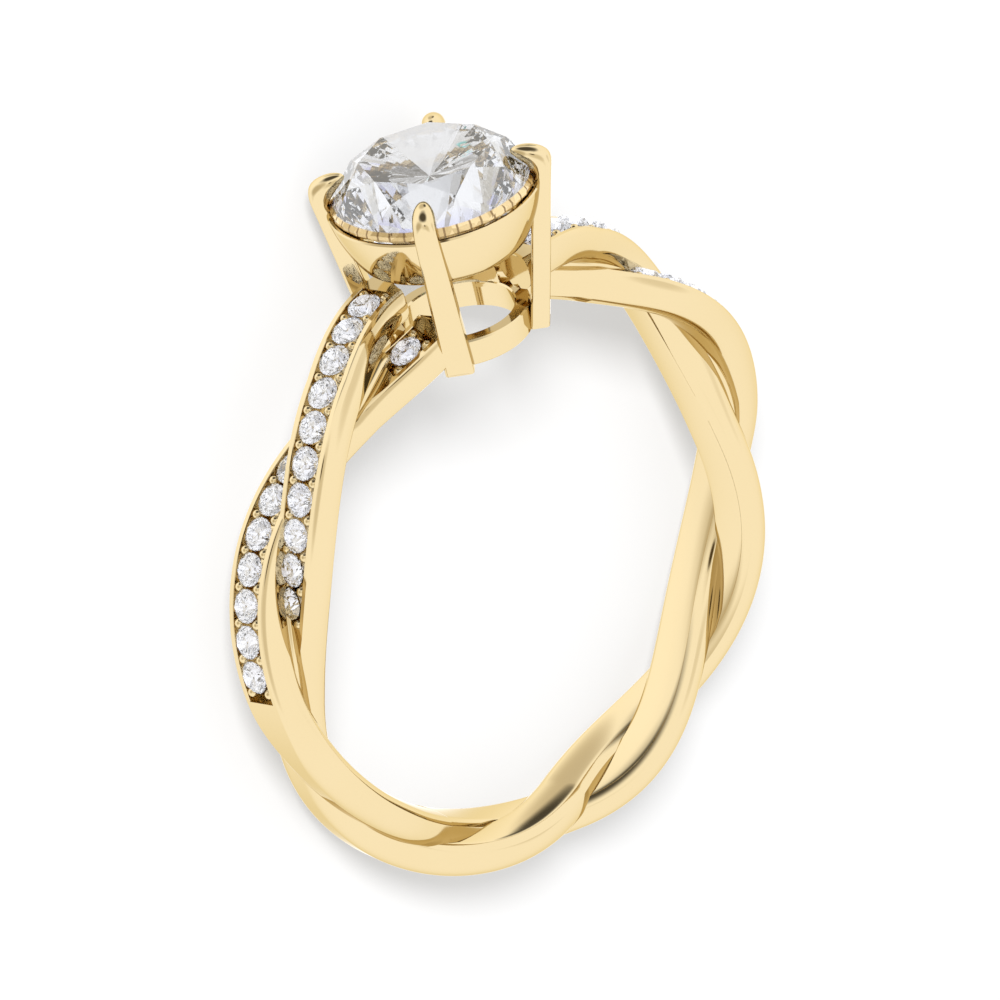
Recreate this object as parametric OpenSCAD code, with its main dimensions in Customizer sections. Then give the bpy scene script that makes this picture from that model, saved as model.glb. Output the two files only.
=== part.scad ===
// Twisted shank ring: two strands wound round each other, a four prong basket, one round stone
// and rows of accent stones on the shoulders. It lies on its side, as it rests by itself.
// Units are millimetres. Angles round the ring start at the head and run down the left shoulder.

/* [Finger hole] */
// Bore that the finger goes through
finger_d = 16.9; // [14.5:0.1:21]

/* [Strands] */
// Width of a strand, along the finger
strand_w = 1.86; // [1.7:0.02:2.3]
// Thickness of a strand, out from the finger
strand_t = 1.16; // [1.06:0.02:1.5]
// Distance from the bore to the circle that the strands wind round
axis_rise = 1.27; // [1.2:0.01:1.7]
// Sideways swing of a strand to each side of the middle plane
side_swing = 0.71; // [0.5:0.01:0.9]
// Swing in and out at the shoulders, where one strand rides over the other
rise_swing = 0.64; // [0.5:0.01:0.75]
// Swing in and out at the back, where the strands run into each other
back_swing = 0.24; // [0.15:0.01:0.4]
// Extra sideways spread where the strands reach the head
head_spread = 0.45; // [0.2:0.01:0.8]
// Extra rise of the outer strand where it reaches the head
head_lift = 0.7; // [0.4:0.01:0.9]
// Extra drop of the inner strand where it reaches the head
head_drop = 0.45; // [0.2:0.01:0.7]
// Bevel on the two outer edges of a strand
outer_bevel = 0.17; // [0.1:0.01:0.3]
// Bevel on the two inner edges of a strand
inner_bevel = 0.16; // [0.08:0.01:0.3]
// Bulge of a strand's sides
side_bulge = 0.05; // [0.02:0.01:0.1]

/* [Crossings] */
// Angle of the first crossing, left strand outside
cross_first = 30.3; // [27:0.1:33]
// Angle of the second crossing
cross_second = 82.5; // [79:0.1:86]
// Angle of the third crossing
cross_third = 138; // [135:0.1:141]
// Angle at which the strands start beside the head
strand_start = 8.5; // [7:0.1:10]

/* [Accent stones] */
// Diameter of an accent stone
accent_d = 1.08; // [0.9:0.01:1.12]
// Step from one accent stone to the next
accent_pitch = 1.15; // [1.13:0.01:1.25]
// Stones in the long row, which starts at the head
long_row = 10; // [4:1:11]
// Stones in the row that comes out from under the long one
late_row = 7; // [2:1:8]
// Angle of the long row's first stone
long_first = 16; // [15:0.1:18]
// Angle of the short row's stone beside the head
short_first = 17; // [16.5:0.1:19]
// Angle of the late row's first stone
late_first = 46.9; // [46.5:0.1:49]
// Depth of the channel that the accent stones sit in
channel_depth = 0.2; // [0.12:0.01:0.3]
// Width of the channel beyond a stone, each side
channel_side = 0.06; // [0.04:0.01:0.1]
// Height of an accent stone's girdle below the strand's outer face
girdle_drop = 0.07; // [0.04:0.01:0.12]
// Width of an accent stone's table
accent_table = 0.62; // [0.5:0.01:0.66]
// Height of an accent stone's crown
accent_crown = 0.17; // [0.12:0.01:0.22]
// Diameter of a gold grain between two stones
grain_d = 0.36; // [0.26:0.01:0.4]
// Distance of a grain from the middle of the row
grain_side = 0.43; // [0.4:0.01:0.5]
// Gap between a stone and its metal
stone_gap = 0.03; // [0.02:0.005:0.05]

/* [Main stone] */
// Diameter of the main stone
stone_d = 6.5; // [6:0.1:7]
// Height of its girdle above the bore
head_h = 4.87; // [4.4:0.01:6]
// Thickness of its girdle
girdle_t = 0.14; // [0.08:0.01:0.25]
// Width of its table
table_d = 4.2; // [3.4:0.02:4.4]
// Height of its crown above the girdle
crown_h = 1.2; // [0.9:0.01:1.3]
// Angle of its pavilion facets
pavilion_angle = 40.8; // [38:0.2:43]

/* [Head] */
// Width of a prong near the stone
prong_top_w = 0.74; // [0.6:0.01:1]
// Width of a prong at its foot
prong_foot_w = 0.92; // [0.7:0.01:1.1]
// Thickness of a prong, out from the stone
prong_t = 0.62; // [0.5:0.01:0.8]
// How far a prong's outer face stands out from the stone's girdle
prong_out = 0.5; // [0.4:0.01:0.7]
// Lean of a prong outwards
prong_lean = 10.8; // [8:0.1:13]
// Thickness of a prong where it grips the girdle
claw_grip = 0.76; // [0.65:0.01:0.9]
// Height of a claw's top above the girdle
claw_h = 0.78; // [0.6:0.01:1]
// Rounding of a claw's upper edges
claw_round = 0.17; // [0.1:0.01:0.2]
// Reach of a claw's tip in over the stone
claw_reach = 0.62; // [0.4:0.01:0.8]
// Diameter of a claw's tip
claw_tip = 0.3; // [0.2:0.01:0.4]
// How far the seat's rim stands out from the girdle
seat_out = 0.14; // [0.1:0.01:0.2]
// Height of the seat band under the stone
seat_h = 1.8; // [1.3:0.05:2.2]
// Outer radius of the seat band at its lower edge
seat_foot_r = 2.72; // [2.6:0.01:2.9]
// Wall of the seat band
seat_wall = 0.42; // [0.35:0.01:0.6]
// Height of the base ring that joins the prongs' feet
base_h = 0.9; // [0.6:0.05:1.2]
// Outer radius of the base ring
base_r = 2.3; // [2.2:0.01:2.4]
// Wall of the base ring
base_wall = 0.5; // [0.35:0.01:0.7]

/* [Hidden] */
$fn = 48;
bore_r = finger_d / 2;
axis_r = bore_r + axis_rise;
stone_z = bore_r + head_h;
stations = 61;
row_sides = [1, -1];
grain_fn = 6;

// Winding angle of a strand at an angle round the ring: half a turn from one crossing to the next
crossings = [cross_first, cross_second, cross_third, 180];
function part_of(t, i) =
    let (x = crossings)
    (t - x[(i + 1) % 4]) * (t - x[(i + 2) % 4]) * (t - x[(i + 3) % 4]) /
    ((x[i] - x[(i + 1) % 4]) * (x[i] - x[(i + 2) % 4]) * (x[i] - x[(i + 3) % 4]));
function wind_half(t) =
    90 * part_of(t, 0) + 270 * part_of(t, 1) + 450 * part_of(t, 2) + 630 * part_of(t, 3);
function wind(t) = t <= 180 ? wind_half(t) : 1260 - wind_half(360 - t);

// Closeness to the head, 1 at the head and 0 from the first crossing on
function from_head(t) = t <= 180 ? t : 360 - t;
function near_head(t) = max(0, (cross_first - from_head(t)) / cross_first);
function swing_out(t) =
    rise_swing + (back_swing - rise_swing) * min(1, max(0, (from_head(t) - 90) / 90));

// A strand's middle: distance from the finger's axis, and place along the finger
function strand_r(t, s) =
    axis_r + s * (swing_out(t) * sin(wind(t)) + (s > 0 ? head_lift : head_drop) * near_head(t));
function strand_y(t, s) = -s * (side_swing + head_spread * near_head(t)) * cos(wind(t));
function strand_at(t, s) = [strand_r(t, s) * sin(t), strand_y(t, s), strand_r(t, s) * cos(t)];

function unit(v) = v / norm(v);
function along(t, s) = unit(strand_at(t + 0.2, s) - strand_at(t - 0.2, s));
function outward(t, s) =
    let (k = along(t, s), o = [sin(t), 0, cos(t)])
    unit(o - k * (o * k));
function sideways(t, s) = cross(outward(t, s), along(t, s));

// A strand's cross section: sideways and outward
section = [
    [strand_w / 2 - outer_bevel - side_bulge, strand_t / 2],
    [strand_w / 2 - 0.35 * outer_bevel - side_bulge, strand_t / 2 - 0.35 * outer_bevel],
    [strand_w / 2 - side_bulge, strand_t / 2 - outer_bevel],
    [strand_w / 2, 0],
    [strand_w / 2 - side_bulge, -strand_t / 2 + inner_bevel],
    [strand_w / 2 - inner_bevel - side_bulge, -strand_t / 2]
];
whole_section = concat(section, [for (i = [len(section) - 1:-1:0]) [-section[i].x, section[i].y]]);

function placed(t, s, p) = strand_at(t, s) + sideways(t, s) * p.x + outward(t, s) * p.y;

// A tube through rings of points, closed at both ends
module tube(rings) {
    n = len(rings[0]);
    m = len(rings);
    polyhedron(
        points = [for (r = rings) for (p = r) p],
        faces = concat(
            [[for (i = [n - 1:-1:0]) i]],
            [for (j = [0:m - 2]) for (i = [0:n - 1])
                [j * n + i, (j + 1) * n + (i + 1) % n, (j + 1) * n + i]],
            [for (j = [0:m - 2]) for (i = [0:n - 1])
                [j * n + i, j * n + (i + 1) % n, (j + 1) * n + (i + 1) % n]],
            [[for (i = [0:n - 1]) (m - 1) * n + i]]
        )
    );
}

module strand(s) {
    step = (360 - 2 * strand_start) / (stations - 1);
    tube([for (j = [0:stations - 1])
        [for (p = whole_section) placed(strand_start + j * step, s, p)]]);
}

// Rows of accent stones, stepped along the strand's outer face
function face_at(t, s) = placed(t, s, [0, strand_t / 2]);
function next_angle(t, s, step) =
    let (rate = norm(face_at(t + 0.5, s) - face_at(t - 0.5, s)), g = t + 0.5 * step / rate,
        mid = norm(face_at(g + 0.5, s) - face_at(g - 0.5, s)))
    t + step / mid;
function row_angles(t, s, n) = n <= 1 ? [t] : concat([t], row_angles(next_angle(t, s, accent_pitch), s, n - 1));

// side picks the strand, first stone's angle, number of stones
rows = [
    [1, long_first, long_row],
    [-1, short_first, 1],
    [-1, late_first, late_row]
];
spots = [for (r = rows) for (t = row_angles(r[1], r[0], r[2])) [r[0], t]];

// Puts a thing made flat, with up as outward, on a strand's outer face
module on_face(t, s, lift = 0) {
    p = placed(t, s, [0, strand_t / 2 + lift]);
    a = along(t, s);
    b = sideways(t, s);
    o = outward(t, s);
    multmatrix([
        [a.x, b.x, o.x, p.x],
        [a.y, b.y, o.y, p.y],
        [a.z, b.z, o.z, p.z],
        [0, 0, 0, 1]
    ]) children();
}

// Repeats a thing on the other shoulder, half a turn about the head's axis
module both_shoulders() {
    for (turn = [0, 180])
        rotate([0, 0, turn])
            children();
}

channel_w = accent_d + 2 * channel_side;
channel_over = 0.4;
module channel(s, from, to) {
    steps = ceil((to - from) / 4) + 1;
    tube([for (j = [0:steps])
        let (t = from + (to - from) * j / steps)
        [for (p = [
            [channel_w / 2, strand_t / 2 + channel_over],
            [channel_w / 2, strand_t / 2 - channel_depth],
            [-channel_w / 2, strand_t / 2 - channel_depth],
            [-channel_w / 2, strand_t / 2 + channel_over]
        ]) placed(t, s, p)]]);
}

accent_deep = accent_d / 2 * tan(pavilion_angle);
module seat_cut() {
    translate([0, 0, -girdle_drop - accent_deep - 3 * stone_gap])
        cylinder(r1 = 0.06, r2 = accent_d / 2 + stone_gap, h = accent_deep + 2 * stone_gap, $fn = 8);
    translate([0, 0, -girdle_drop - stone_gap])
        cylinder(r = accent_d / 2 + stone_gap, h = channel_over, $fn = 8);
}

module row_cuts(s, first, count) {
    angles = row_angles(first, s, count);
    half = 0.5 * accent_pitch / norm(face_at(first + 0.5, s) - face_at(first - 0.5, s));
    channel(s, angles[0] - 1.35 * half, angles[count - 1] + 1.35 * half);
    for (t = angles)
        on_face(t, s)
            seat_cut();
}

grain_up = 0.02;
module row_grains(s, first, count) {
    for (i = [0:count])
        let (
            base = next_angle(first, s, -accent_pitch / 2),
            t = i == 0 ? base : next_angle(row_angles(first, s, count)[i - 1], s, accent_pitch / 2)
        )
        for (side = row_sides)
            on_face(t, s, -grain_d / 2 + grain_up)
                translate([0, side * grain_side, 0])
                    sphere(d = grain_d, $fn = grain_fn);
}

// Round brilliant with its girdle's lower edge at z = 0
module brilliant(d, table, crown, band) {
    r = d / 2;
    tr = table / 2;
    top = band + crown;
    sr = 0.5 * (r + tr);
    star = top - (top - band) * (sr * cos(22.5) - tr) / (r - tr);
    deep = r * tan(pavilion_angle);
    pr = 0.24 * r;
    low = -deep + deep * pr * cos(22.5) / r;
    function at(q, k, z) = [q * cos(k), q * sin(k), z];
    points = concat(
        [for (i = [0:7]) at(tr, 45 * i, top)],
        [for (i = [0:7]) at(sr, 45 * i + 22.5, star)],
        [for (i = [0:15]) at(r, 22.5 * i, band)],
        [for (i = [0:15]) at(r, 22.5 * i, 0)],
        [for (i = [0:7]) at(pr, 45 * i + 22.5, low)],
        [[0, 0, -deep]]
    );
    polyhedron(
        points = points,
        faces = concat(
            [[for (i = [7:-1:0]) i]],
            [for (i = [0:7]) [i, (i + 1) % 8, 8 + i]],
            [for (i = [0:7]) [i, 8 + i, 16 + 2 * i]],
            [for (i = [0:7]) [i, 16 + 2 * i, 8 + (i + 7) % 8]],
            [for (i = [0:7]) [8 + i, 17 + 2 * i, 16 + 2 * i]],
            [for (i = [0:7]) [8 + i, 16 + (2 * i + 2) % 16, 17 + 2 * i]],
            [for (i = [0:15]) [16 + i, 16 + (i + 1) % 16, 32 + (i + 1) % 16]],
            [for (i = [0:15]) [16 + i, 32 + (i + 1) % 16, 32 + i]],
            [for (i = [0:7]) [32 + 2 * i, 33 + 2 * i, 48 + i]],
            [for (i = [0:7]) [33 + 2 * i, 32 + (2 * i + 2) % 16, 48 + i]],
            [for (i = [0:7]) [32 + 2 * i, 48 + i, 56]],
            [for (i = [0:7]) [32 + 2 * i, 56, 48 + (i + 7) % 8]]
        )
    );
}

// Prongs: outer face runs from the foot up to the girdle, then a claw bends over the stone
prong_r = stone_d / 2 + prong_out;
foot_z = bore_r - 0.25;
crown_slope = crown_h / (stone_d / 2 - table_d / 2);
function prong_face(z) = prong_r - (stone_z - z) * tan(prong_lean);
module prong_block(z, w, t, reach = 0, h = 0.02) {
    translate([prong_face(z) - t / 2 - reach, 0, z])
        linear_extrude(height = h)
            polygon([
                [t / 2 - 0.14, -w / 2],
                [t / 2, -w / 2 + 0.14],
                [t / 2, w / 2 - 0.14],
                [t / 2 - 0.14, w / 2],
                [-t / 2, w / 2],
                [-t / 2, -w / 2]
            ]);
}

module prong() {
    hull() {
        prong_block(foot_z, prong_foot_w, prong_t);
        prong_block(stone_z - seat_h, 0.5 * (prong_foot_w + prong_top_w), prong_t);
    }
    hull() {
        prong_block(stone_z - seat_h, 0.5 * (prong_foot_w + prong_top_w), prong_t);
        prong_block(stone_z + girdle_t, prong_top_w, claw_grip);
    }
    hull() {
        prong_block(stone_z + girdle_t, prong_top_w, claw_grip);
        claw_end();
    }
    hull() {
        claw_end();
        translate([stone_d / 2 - claw_reach, 0, stone_z + girdle_t + claw_reach * crown_slope + 0.06])
            sphere(d = claw_tip, $fn = 8);
    }
}

// Top of a prong: as wide as the prong, rounder and lower at the outer side
claw_z = stone_z + girdle_t + claw_h - claw_round;
claw_ends = [
    [prong_face(claw_z) - 1.5 * claw_round, claw_z - 0.16, 1.5 * claw_round],
    [prong_face(claw_z) - prong_t, claw_z, claw_round]
];
module claw_end() {
    for (e = claw_ends, side = [-1, 1])
        translate([e[0], side * (prong_top_w / 2 - e[2]), e[1]])
            sphere(r = e[2], $fn = 8);
}

module prongs() {
    for (k = [45:90:315])
        rotate([0, 0, k])
            prong();
}

seat_top = stone_z - 0.06;
room_step = 0.04;
rim_drop = 0.12;
module seat_band() {
    rotate_extrude($fn = 40)
        polygon([
            [seat_foot_r, seat_top - seat_h],
            [stone_d / 2 + seat_out, seat_top - rim_drop],
            [stone_d / 2 + seat_out - 0.05, seat_top],
            [stone_d / 2 - 0.4, seat_top],
            [seat_foot_r - seat_wall, seat_top - seat_h]
        ]);
}

module base_ring() {
    rotate_extrude($fn = 40)
        polygon([
            [base_r - base_wall, foot_z],
            [base_r - 0.08, foot_z],
            [base_r, foot_z + base_h],
            [base_r - base_wall, foot_z + base_h]
        ]);
}

// Room for the main stone in the metal: the stone grown by the gap
module stone_room() {
    translate([0, 0, stone_z])
        hull() {
            translate([0, 0, -stone_gap])
                cylinder(r = stone_d / 2 + stone_gap, h = girdle_t + 2 * stone_gap, $fn = 40);
            translate([0, 0, girdle_t + stone_gap])
                cylinder(
                    r1 = stone_d / 2 + stone_gap,
                    r2 = table_d / 2 + stone_gap,
                    h = crown_h,
                    $fn = 40
                );
            translate([0, 0, -stone_d / 2 * tan(pavilion_angle) - 2 * stone_gap])
                cylinder(r1 = 0.02, r2 = stone_d / 2 + stone_gap, h = stone_d / 2 * tan(pavilion_angle) + stone_gap, $fn = 40);
        }
}

module finger_room() {
    rotate([90, 0, 0])
        cylinder(r = bore_r, h = 12, center = true, $fn = 96);
}

// Open inside of the basket, which the strands' ends stop at
module basket_room() {
    translate([0, 0, foot_z - 1])
        cylinder(r = base_r - base_wall + room_step, h = seat_top - seat_h - foot_z + 1, $fn = 40);
}

module metal_upright() {
    difference() {
        union() {
            difference() {
                union()
                    for (s = [1, -1])
                        strand(s);
                basket_room();
            }
            prongs();
            seat_band();
            base_ring();
        }
        both_shoulders() {
            row_cuts(1, long_first, long_row);
            row_cuts(-1, short_first, 1);
            row_cuts(-1, late_first, late_row);
        }
        stone_room();
        finger_room();
    }
    both_shoulders() {
        row_grains(1, long_first, long_row);
        row_grains(-1, short_first, 1);
        row_grains(-1, late_first, late_row);
    }
}

// Rest on the side: the seat's rim and the strands' far edges touch the floor
head_low = [-(stone_d / 2 + seat_out), seat_top - rim_drop];
back_points = [for (t = [100:1:260]) for (s = [1, -1]) for (p = whole_section) placed(t, s, p)];
tilt = min([for (q = back_points) atan((q.y - head_low.x) / (head_low.y - q.z))]);
rest_lift = -(head_low.x * cos(tilt) + head_low.y * sin(tilt));
back_reach = max([for (q = back_points) q.y * sin(tilt) - q.z * cos(tilt)]);
head_reach = table_d / 2 * sin(tilt) + (stone_z + girdle_t + crown_h) * cos(tilt);
module at_rest() {
    translate([0, (head_reach - back_reach) / 2, rest_lift])
        rotate([90 - tilt, 0, 0])
            children();
}

module metal() {
    color([0.93, 0.79, 0.5])
        at_rest()
            metal_upright();
}

module main_stone() {
    color([0.9, 0.93, 0.97])
        at_rest()
            translate([0, 0, stone_z])
                brilliant(stone_d, table_d, crown_h, girdle_t);
}

// Accent stones: the left shoulder's in row order, then the right shoulder's
module accent(i) {
    count = len(spots);
    spot = spots[i % count];
    color([0.85, 0.88, 0.93])
        at_rest()
            rotate([0, 0, i < count ? 0 : 180])
                on_face(spot[1], spot[0], -girdle_drop)
                    brilliant(accent_d, accent_table, accent_crown, 0.05);
}

metal();
main_stone();
accent(0);  // accent_01
accent(1);  // accent_02
accent(2);  // accent_03
accent(3);  // accent_04
accent(4);  // accent_05
accent(5);  // accent_06
accent(6);  // accent_07
accent(7);  // accent_08
accent(8);  // accent_09
accent(9);  // accent_10
accent(10);  // accent_11
accent(11);  // accent_12
accent(12);  // accent_13
accent(13);  // accent_14
accent(14);  // accent_15
accent(15);  // accent_16
accent(16);  // accent_17
accent(17);  // accent_18
accent(18);  // accent_19
accent(19);  // accent_20
accent(20);  // accent_21
accent(21);  // accent_22
accent(22);  // accent_23
accent(23);  // accent_24
accent(24);  // accent_25
accent(25);  // accent_26
accent(26);  // accent_27
accent(27);  // accent_28
accent(28);  // accent_29
accent(29);  // accent_30
accent(30);  // accent_31
accent(31);  // accent_32
accent(32);  // accent_33
accent(33);  // accent_34
accent(34);  // accent_35
accent(35);  // accent_36
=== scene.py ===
# %% [markdown]
# # A twisted shank ring
# The ring is yellow gold: two strands wind round each other, and at the top a basket of four prongs
# holds a round brilliant. Rows of small brilliants sit in channels on the shoulders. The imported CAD
# model is the frame, and each piece here is a finer mesh that stands where its CAD node stands.

# %% Load the frame
import math

import bmesh
import bpy
import numpy as np
from mathutils import Matrix, Vector


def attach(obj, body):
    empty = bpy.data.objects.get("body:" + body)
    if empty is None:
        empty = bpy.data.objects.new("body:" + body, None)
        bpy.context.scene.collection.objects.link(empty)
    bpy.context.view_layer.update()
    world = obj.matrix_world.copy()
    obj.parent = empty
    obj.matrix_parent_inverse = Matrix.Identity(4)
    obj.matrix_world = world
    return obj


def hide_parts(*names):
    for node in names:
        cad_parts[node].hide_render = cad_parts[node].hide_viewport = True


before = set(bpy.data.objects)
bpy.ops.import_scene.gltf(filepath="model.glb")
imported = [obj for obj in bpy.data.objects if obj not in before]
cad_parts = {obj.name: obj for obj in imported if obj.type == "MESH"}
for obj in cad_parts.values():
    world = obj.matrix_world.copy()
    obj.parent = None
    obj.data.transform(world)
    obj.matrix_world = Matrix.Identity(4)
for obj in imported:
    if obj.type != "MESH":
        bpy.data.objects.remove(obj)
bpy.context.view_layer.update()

# %% [markdown]
# ## Sizes
# Jewellers think in millimetres, so every size here is one, and points are turned into metres only
# when a mesh is made. The numbers are the ring's own: the bore, the strands' section, the angles at
# which one strand crosses over the other, the stones and the head.

# %% Sizes of the ring in millimetres and degrees
MM = 0.001
BORE_R = 8.45
STRAND_W, STRAND_T = 1.86, 1.16
AXIS_R = BORE_R + 1.27
SIDE_SWING = 0.71
SHOULDER_SWING, BACK_SWING = 0.64, 0.24
HEAD_SPREAD, HEAD_LIFT, HEAD_DROP = 0.45, 0.7, 0.45
CROSSINGS = (30.3, 82.5, 138.0, 180.0)
STRAND_START = 8.5

ACCENT_D, ACCENT_PITCH = 1.08, 1.15
ROWS = {
    "long": {"strand": 1, "first": 16.0, "stones": 10},
    "short": {"strand": -1, "first": 17.0, "stones": 1},
    "late": {"strand": -1, "first": 46.9, "stones": 7},
}
CHANNEL_HALF = ACCENT_D / 2 + 0.05
CHANNEL_DEPTH = 0.5
GIRDLE_DROP = 0.07
GRAIN_D, GRAIN_SIDE = 0.36, 0.43

STONE_D, TABLE_D, CROWN_H, GIRDLE_T = 6.5, 4.2, 1.2, 0.14
PAVILION_ANGLE = 40.8
STONE_Z = BORE_R + 4.87
SEAT_TOP = STONE_Z - 0.06
SEAT_H, SEAT_OUT, SEAT_FOOT_R, SEAT_WALL = 1.8, 0.14, 2.72, 0.42
BASE_H, BASE_R, BASE_WALL = 0.9, 2.3, 0.5
FOOT_Z = BORE_R - 0.25
print("bore:", 2 * BORE_R, "stone:", STONE_D, "rows:", [row["stones"] for row in ROWS.values()])

# %% [markdown]
# ## How the ring lies
# The shapes are easiest to work out with the ring upright: x to the left shoulder, y along the
# finger towards the viewer, z up through the head, and the finger's axis at the origin. The ring
# rests on its side, so one turn and one shift lay it down. The CAD main stone shows both: its
# thinnest direction is the head's axis, and its table is a known height above the finger's axis.

# %% Read the lying pose from the CAD stone
def node_points(name):
    """A CAD node's corners in millimetres, each one once."""
    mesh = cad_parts[name].data
    flat = np.empty(len(mesh.vertices) * 3)
    mesh.vertices.foreach_get("co", flat)
    return np.unique((flat.reshape(-1, 3) / MM).round(3), axis=0)


stone_points = node_points("main_stone")
spread = np.cov((stone_points - stone_points.mean(0)).T)
head_dir = np.linalg.eigh(spread)[1][:, 0]
head_dir = head_dir * -np.sign(head_dir[1])
reach = stone_points @ head_dir
table_middle = stone_points[reach > reach.max() - 0.001].mean(0)
table_height = STONE_Z + GIRDLE_T + CROWN_H
finger_point = table_middle - head_dir * table_height
tilt = math.atan2(head_dir[2], -head_dir[1])
LIE = np.array([
    [1.0, 0.0, 0.0],
    [0.0, math.sin(tilt), -math.cos(tilt)],
    [0.0, math.cos(tilt), math.sin(tilt)],
])
finger_point[0] = 0.0


def lie_down(points):
    """Upright millimetres to the frame's metres."""
    return (np.asarray(points) @ LIE.T + finger_point) * MM


print("tilt", round(math.degrees(tilt), 3), "finger axis at", finger_point.round(3))

# %% [markdown]
# ## Camera
# The photograph looks at the ring from above its near side with a long lens. The three rows are the
# camera's right, up and back directions in the upright ring, found by fitting the outline. Laying
# them down with the ring keeps the same view, and puts the camera about 47 degrees above the floor.

# %% The photograph's camera
VIEW_RIGHT = np.array([-0.71699, 0.67237, -0.18396])
VIEW_UP = np.array([-0.46333, -0.26249, 0.84642])
VIEW_BACK = np.array([0.52082, 0.69211, 0.49973])
PIXELS_PER_MM = 31.06
CAMERA_DISTANCE = 185.2
AXIS_PIXEL = (511.6, 553.9)
IMAGE_SIZE = 1000

camera_data = bpy.data.cameras.new("ring_camera")
camera = bpy.data.objects.new("ring_camera", camera_data)
bpy.context.scene.collection.objects.link(camera)
bpy.context.scene.camera = camera
turned = [Vector(LIE @ v) for v in (VIEW_RIGHT, VIEW_UP, VIEW_BACK)]
camera.matrix_world = Matrix.Translation(
    Vector(finger_point * MM) + turned[2] * CAMERA_DISTANCE * MM
) @ Matrix(turned).transposed().to_4x4()
camera_data.sensor_width = 36.0
camera_data.lens = PIXELS_PER_MM * CAMERA_DISTANCE / IMAGE_SIZE * camera_data.sensor_width
camera_data.shift_x = (IMAGE_SIZE / 2 - AXIS_PIXEL[0]) / IMAGE_SIZE
camera_data.shift_y = (AXIS_PIXEL[1] - IMAGE_SIZE / 2) / IMAGE_SIZE
camera_data.clip_start = 0.01
camera_data.clip_end = 20.0
print("lens", round(camera_data.lens, 1), "height above the floor", round(camera.location.z, 4))

# %% [markdown]
# ## Node trees as sums
# A material is a small program of nodes. Writing it as Python sums keeps it readable: this class
# wraps a socket, so that `noise * 0.1 + 0.2` adds the two Math nodes, and `node` adds any other.

# %% A socket that can be added and multiplied
class Socket:
    def __init__(self, tree, socket):
        self.tree = tree
        self.socket = socket

    def maths(self, operation, first, second):
        return node(self.tree, "ShaderNodeMath", {"operation": operation}, [first, second])

    def __add__(self, other):
        return self.maths("ADD", self, other)

    def __radd__(self, other):
        return self.maths("ADD", other, self)

    def __sub__(self, other):
        return self.maths("SUBTRACT", self, other)

    def __rsub__(self, other):
        return self.maths("SUBTRACT", other, self)

    def __mul__(self, other):
        return self.maths("MULTIPLY", self, other)

    def __rmul__(self, other):
        return self.maths("MULTIPLY", other, self)


def node(tree, kind, settings=None, inputs=None, output=0):
    """Adds a node: settings first, then its inputs by place or name, and returns one output."""
    made = tree.nodes.new(kind)
    for key, value in (settings or {}).items():
        setattr(made, key, value)
    pairs = inputs.items() if isinstance(inputs, dict) else enumerate(inputs or [])
    for key, value in pairs:
        if isinstance(value, Socket):
            tree.links.new(value.socket, made.inputs[key])
        elif value is not None:
            made.inputs[key].default_value = value
    return Socket(tree, made.outputs[output])


def new_material(name):
    material = bpy.data.materials.new(name)
    material.use_nodes = True
    tree = material.node_tree
    shader = next(n for n in tree.nodes if n.type == "BSDF_PRINCIPLED")
    place = node(tree, "ShaderNodeTexCoord", output="Object")
    return material, tree, shader, place


def drive(tree, shader, name, value):
    tree.links.new(value.socket, shader.inputs[name])


sums = [name for name in dir(Socket) if name.strip("_").endswith(("add", "sub", "mul"))]
print("sums a socket takes:", sums)

# %% [markdown]
# ## Polished yellow gold
# Metal has no colour of its own under the light: it tints what it mirrors, and where it mirrors
# itself the tint deepens, so corners go brown by themselves. The tint is darker than the gold looks
# and the sky is brighter than white to make up for it: that gives those corners the right brown.
# The edge tint keeps surfaces seen at a slant golden instead of white. A polished ring still shows
# faint swirls from the wheel, which a very weak bump and a little roughness variation give.

# %% Gold
GOLD_LIGHT = (0.66, 0.54, 0.325, 1.0)
GOLD_WARM = (0.65, 0.525, 0.305, 1.0)
GOLD_EDGE = (0.72, 0.64, 0.46, 1.0)
GOLD_ROUGHNESS, SWIRL_ROUGHNESS = 0.05, 0.03
CLOUD_SCALE, SWIRL_SCALE = 350.0, 2600.0
SWIRL_STRENGTH, SWIRL_DEPTH = 0.02, 0.00002


def blend(tree, factor, first, second):
    return node(tree, "ShaderNodeMix", {"data_type": "RGBA"}, {0: factor, 6: first, 7: second}, 2)


def noise(tree, place, scale, detail):
    settings = {"Vector": place, "Scale": scale, "Detail": detail}
    return node(tree, "ShaderNodeTexNoise", None, settings)


def make_gold():
    material, tree, shader, place = new_material("polished_gold")
    cloud = noise(tree, place, CLOUD_SCALE, 2.0)
    swirl = noise(tree, place, SWIRL_SCALE, 3.0)
    drive(tree, shader, "Base Color", blend(tree, cloud, GOLD_LIGHT, GOLD_WARM))
    drive(tree, shader, "Roughness", swirl * SWIRL_ROUGHNESS + GOLD_ROUGHNESS)
    bump = node(
        tree, "ShaderNodeBump", None,
        {"Height": swirl, "Strength": SWIRL_STRENGTH, "Distance": SWIRL_DEPTH},
    )
    drive(tree, shader, "Normal", bump)
    shader.inputs["Metallic"].default_value = 1.0
    shader.inputs["Specular Tint"].default_value = GOLD_EDGE
    return material


gold = make_gold()
print("gold nodes:", len(gold.node_tree.nodes))
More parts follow.
